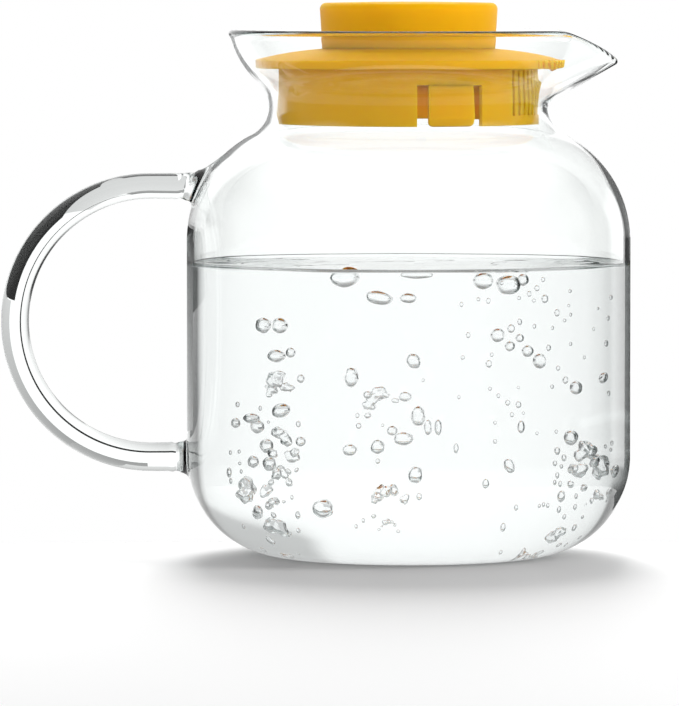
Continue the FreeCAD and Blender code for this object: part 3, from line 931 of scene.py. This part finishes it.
def buildFlags():
    for name, sizes in studio["flags"].items():
        mesh = bmesh.new()
        mesh.faces.new([mesh.verts.new((x, sizes["behind"], z)) for x, z in sizes["corners"]])
        heights = [z for _, z in sizes["corners"]]
        reach = (min(heights), max(heights))
        glassOnly(mesh, name, reach, sizes["light"], sizes["depth"], sizes.get("nearest", 0.0))
    # painted shadow under the base: a dim disc that only the glass sees
    sizes = studio["underShade"]
    mesh = bmesh.new()
    bmesh.ops.create_circle(mesh, cap_ends=True, segments=96, radius=sizes["radius"])
    reach = (sizes["core"], sizes["radius"])
    shade = glassOnly(mesh, "underShade", reach, sizes["light"], sizes["depth"], outward=True)
    shade.location.z = -sizes["drop"] * mm


def buildWorld():
    # white to the camera; to glass and lid a bright studio whose walls are dim in places
    world = bpy.data.worlds.new("studio")
    scene.world = world
    world.use_nodes = True
    tree = world.node_tree
    tree.nodes.clear()
    link = tree.links.new
    place = tree.nodes.new("ShaderNodeTexCoord")
    split = tree.nodes.new("ShaderNodeSeparateXYZ")
    link(place.outputs["Generated"], split.inputs["Vector"])

    def sums(kind, *values):
        return combine(tree, kind, *values)

    def step(value, low, high, lowValue=0.0, highValue=1.0):
        node = tree.nodes.new("ShaderNodeMapRange")
        node.interpolation_type = "SMOOTHSTEP"
        link(value, node.inputs["Value"])
        ends = {"From Min": low, "From Max": high, "To Min": lowValue, "To Max": highValue}
        for key, number in ends.items():
            node.inputs[key].default_value = number
        return node.outputs["Result"]

    swing = sums("ARCTAN2", split.outputs["X"], sums("ABSOLUTE", split.outputs["Y"]))
    degrees = sums("MULTIPLY", swing, 180 / math.pi)
    walls = tree.nodes.new("ShaderNodeValToRGB")
    link(sums("MULTIPLY_ADD", degrees, 1 / 180, 0.5), walls.inputs["Fac"])
    stops = walls.color_ramp.elements
    while len(stops) < len(studio["walls"]):
        stops.new(1.0)
    for stop, (angle, level) in zip(stops, studio["walls"]):
        stop.position = 0.5 + angle / 180
        stop.color = (level, level, level, 1)
    height = sums("MULTIPLY", sums("ARCSINE", split.outputs["Z"]), 180 / math.pi)
    lit = walls.outputs["Color"]
    for card in studio["cards"]:
        soft = card["soft"] / 2
        cover = 1.0
        for angle, near, far in ((degrees, "left", "right"), (height, "low", "high")):
            cover = sums("MULTIPLY", step(angle, card[near] - soft, card[near] + soft), cover)
            cover = sums("MULTIPLY", step(angle, card[far] - soft, card[far] + soft, 1.0, 0.0), cover)
        lit = sums("MULTIPLY", lit, step(cover, 0.0, 1.0, 1.0, card["level"]))
    path = tree.nodes.new("ShaderNodeLightPath")
    glossy, through = path.outputs["Is Glossy Ray"], path.outputs["Is Transmission Ray"]
    front = step(through, 0.0, 1.0, studio["front"]["mirrored"], studio["front"]["through"])
    behind = step(split.outputs["Y"], *studio["front"]["edge"])
    ahead = sums("MULTIPLY", front, sums("SUBTRACT", 1.0, behind))
    lit = sums("ADD", sums("MULTIPLY", lit, behind), ahead)
    low = studio["lowRoom"]
    room = sums("MULTIPLY", step(height, *low["high"], low["light"], 0.0), step(height, *low["low"]))
    lit = sums("MAXIMUM", lit, sums("MULTIPLY", through, room))
    ceiling = studio["ceiling"]
    overhead = step(height, *ceiling["rise"], 0.0, ceiling["light"])
    overhead = sums("MULTIPLY", overhead, step(split.outputs["Y"], *ceiling["edge"]))
    lit = sums("MAXIMUM", lit, overhead)
    mirrored = sums("MAXIMUM", glossy, through)
    level = tree.nodes.new("ShaderNodeMix")
    ambient = studio["ambient"]
    link(step(sums("ABSOLUTE", height), *ambient["rise"], *ambient["light"]), level.inputs["A"])
    link(mirrored, level.inputs["Factor"])
    link(lit, level.inputs["B"])
    shade = tree.nodes.new("ShaderNodeBackground")
    shade.inputs["Color"].default_value = (1, 1, 1, 1)
    link(sums("MAXIMUM", level.outputs["Result"], path.outputs["Is Camera Ray"]), shade.inputs["Strength"])
    out = tree.nodes.new("ShaderNodeOutputWorld")
    link(shade.outputs["Background"], out.inputs["Surface"])


def aimed(piece, place, target):
    piece.location = place
    piece.rotation_euler = (Vector(target) - Vector(place)).to_track_quat("-Z", "Y").to_euler()
    scene.collection.objects.link(piece)


def buildLamps():
    for name, sizes in studio["lamps"].items():
        lamp = bpy.data.lights.new(name, "AREA")
        lamp.shape = "RECTANGLE"
        lamp.size, lamp.size_y = sizes["size"]
        lamp.energy = sizes["watts"]
        piece = bpy.data.objects.new(name, lamp)
        piece.visible_camera = False
        piece.visible_glossy = False
        piece.visible_transmission = False
        aimed(piece, sizes["place"], sizes["aim"])


def buildCamera():
    sizes = studio["camera"]
    lens = bpy.data.cameras.new("camera")
    lens.lens = sizes["lens"]
    lens.sensor_width = 36.0
    lens.clip_end = 50.0
    camera = bpy.data.objects.new("camera", lens)
    aimed(camera, sizes["place"], sizes["aim"])
    scene.camera = camera


# putting it together

glass = buildGlass()
glass.data.materials.append(glassMaterial())
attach(glass, "jug")
glassNodes = [n for n in nodes if n.startswith(("glass_", "pouring_", "handle"))]
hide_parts(*glassNodes)
print("glass", len(glass.data.polygons), "faces")

drink = buildWater()
drink.data.materials.append(waterMaterial())
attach(drink, "jug")
print("water", len(drink.data.polygons), "faces")

yellow = lidMaterial()
for name in nodes:
    if name not in glassNodes:
        nodes[name].data.materials.clear()
        nodes[name].data.materials.append(yellow)
for side in ("front", "rear", "left"):
    buildTongue(side).data.materials.append(yellow)
print("lid finished")

buildFloor()
buildFlags()
buildWorld()
buildLamps()
buildCamera()
scene.view_settings.view_transform = "Standard"
scene.cycles.max_bounces = studio["bounces"]
scene.cycles.transmission_bounces = studio["bounces"]
scene.cycles.glossy_bounces = studio["bounces"]
scene.cycles.transparent_max_bounces = studio["bounces"]
scene.cycles.caustics_reflective = False
scene.cycles.caustics_refractive = False
print("stage set")
